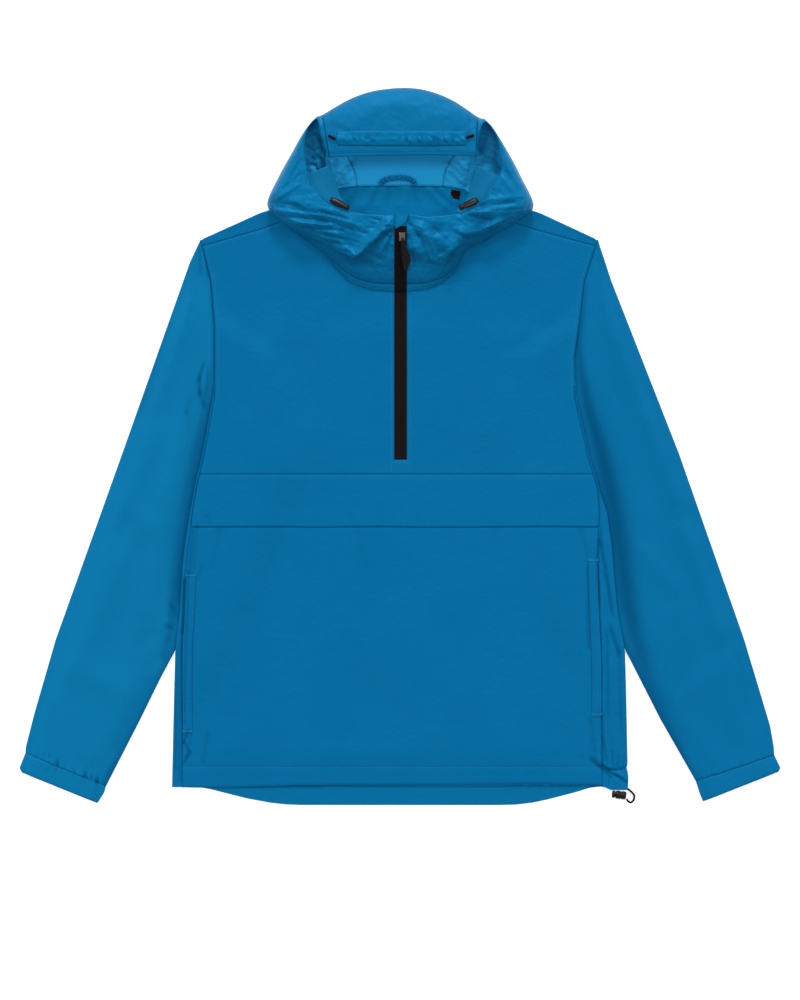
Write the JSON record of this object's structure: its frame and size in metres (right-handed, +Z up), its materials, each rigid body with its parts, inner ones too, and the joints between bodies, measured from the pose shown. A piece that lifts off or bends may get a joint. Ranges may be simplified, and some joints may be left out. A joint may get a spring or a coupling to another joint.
{
  "type": "anorak pullover",
  "caption": "Hooded anorak pullover laid flat on its back, with a half zip, a wide pocket flap across the chest, side pockets, gathered cuffs and a drop tail.",
  "frame": {"origin": "on the floor under the middle of the garment's bounding box", "axes": "+Z up from the floor through the front, +Y from the hem to the hood, +X to the right of the front as it is seen"},
  "size_m": [0.9436, 0.8878, 0.0399],
  "materials": {
    "shell_cloth": "matt plain-woven nylon, blue",
    "hood_cloth": "matt plain-woven nylon, a little lighter blue",
    "tape_black": "matt black woven tape and cord",
    "trim_black": "matt black moulding",
    "toggle_bronze": "smoky bronze moulding",
    "slider_metal": "bright metal"
  },
  "bodies": {
    "anorak": {"back": "shell_cloth", "front_lower": "shell_cloth", "front_upper": "shell_cloth", "pocket_flap": "shell_cloth", "welt_left": "shell_cloth", "welt_right": "shell_cloth", "sleeve_left": "hood_cloth", "sleeve_right": "hood_cloth", "cuff_left": "hood_cloth", "cuff_right": "hood_cloth", "hood_left": "hood_cloth", "hood_right": "hood_cloth", "hood_crown": "hood_cloth", "brim_channel": "hood_cloth", "hood_facing_left": "hood_cloth", "hood_facing_right": "hood_cloth", "zip_garage": "hood_cloth", "hanger_loop": "hood_cloth", "size_label": "tape_black", "zip_tape": "tape_black", "hood_cord_left": "tape_black", "hood_cord_right": "tape_black", "hem_cord_loop": "tape_black", "zip_slider": "slider_metal", "hood_toggle_left": "toggle_bronze", "hood_toggle_right": "toggle_bronze", "hem_cord_lock": "trim_black"},
    "zip_pull": {"zip_pull": "trim_black"}
  },
  "joints": [
    {"name": "zip_pull_hinge", "type": "hinge", "parent": "anorak", "child": "zip_pull", "pos_m": [0.0034, 0.2555, 0.0354], "axis": [-1, 0, 0], "range_deg": [0, 110]}
  ]
}
